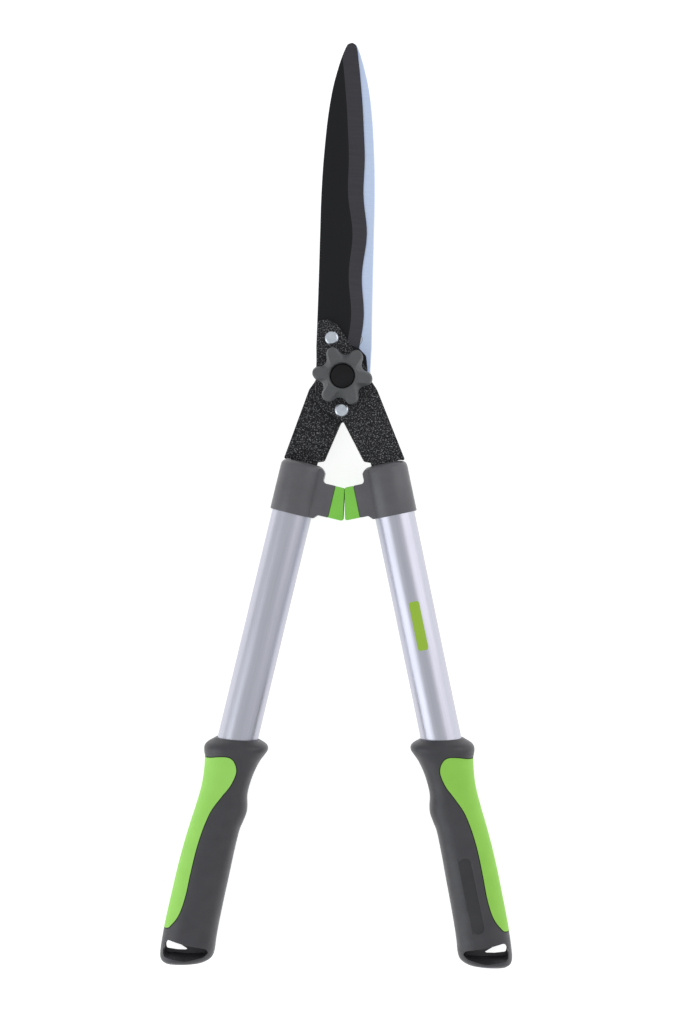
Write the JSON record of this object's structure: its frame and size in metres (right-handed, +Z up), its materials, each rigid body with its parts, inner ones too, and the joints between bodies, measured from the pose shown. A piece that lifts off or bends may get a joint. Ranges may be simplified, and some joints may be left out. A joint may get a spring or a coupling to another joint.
{
  "type": "hedge shears",
  "caption": "Long-bladed garden shears with wavy ground edges, tubular handles, rubber buffers and a knob-tightened pivot.",
  "frame": {"origin": "middle of the footprint, at ground level, with the shears lying flat and closed, knob up", "axes": "+Z up along the pivot axis on the knob side, +Y towards the blade tips, +X towards the right-hand handle seen from the knob"},
  "size_m": [0.2288, 0.5998, 0.041],
  "materials": {
    "coated_blade": "smooth black low-friction coating, bare ground bevel and inner face",
    "hammered_tang": "hammered black paint",
    "zinc": "bright zinc plating",
    "anodised_tube": "satin anodised",
    "dark_plastic": "fine moulded texture",
    "green_rubber": "soft matte rubber",
    "knob_plastic": "moulded glass-filled plastic",
    "black_plastic": "smooth moulded plastic"
  },
  "bodies": {
    "rear_half": {"rear_blade": "coated_blade", "rear_tang": "hammered_tang", "rear_upper_rivet": "zinc", "rear_lower_rivet": "zinc", "left_tube": "anodised_tube", "left_collar": "dark_plastic", "left_buffer": "green_rubber", "left_tang_liner": "black_plastic", "left_tang_pin": "zinc", "left_grip": "dark_plastic", "left_grip_insert": "green_rubber", "pivot_bolt": "zinc", "thrust_washer": "black_plastic", "wave_washer": "zinc"},
    "front_half": {"front_blade": "coated_blade", "front_tang": "hammered_tang", "front_upper_rivet": "zinc", "front_lower_rivet": "zinc", "right_tube": "anodised_tube", "right_collar": "dark_plastic", "right_buffer": "green_rubber", "right_tang_liner": "black_plastic", "right_tang_pin": "zinc", "right_grip": "dark_plastic", "right_grip_insert": "green_rubber"},
    "clamp_washer": {"flat_washer": "zinc"},
    "clamp_knob": {"knob": "knob_plastic", "knob_nut": "zinc", "knob_cap": "black_plastic"}
  },
  "joints": [
    {"name": "blade_pivot", "type": "hinge", "parent": "rear_half", "child": "front_half", "pos_m": [-0.00123, 0.08241, 0.0182], "axis": [0, 0, 1], "range_deg": [0, 75]},
    {"name": "clamp_lift", "type": "slide", "parent": "rear_half", "child": "clamp_washer", "axis": [0, 0, 1], "range_m": [0, 0.00126], "deforming": ["wave_washer"]},
    {"name": "knob_turn", "type": "hinge", "parent": "clamp_washer", "child": "clamp_knob", "pos_m": [-0.00123, 0.08241, 0.0182], "axis": [0, 0, 1], "range_deg": [0, 360]}
  ],
  "couplings": [
    {"joint": "clamp_lift", "follows": "knob_turn", "m_per_rad": 0.00019894}
  ]
}
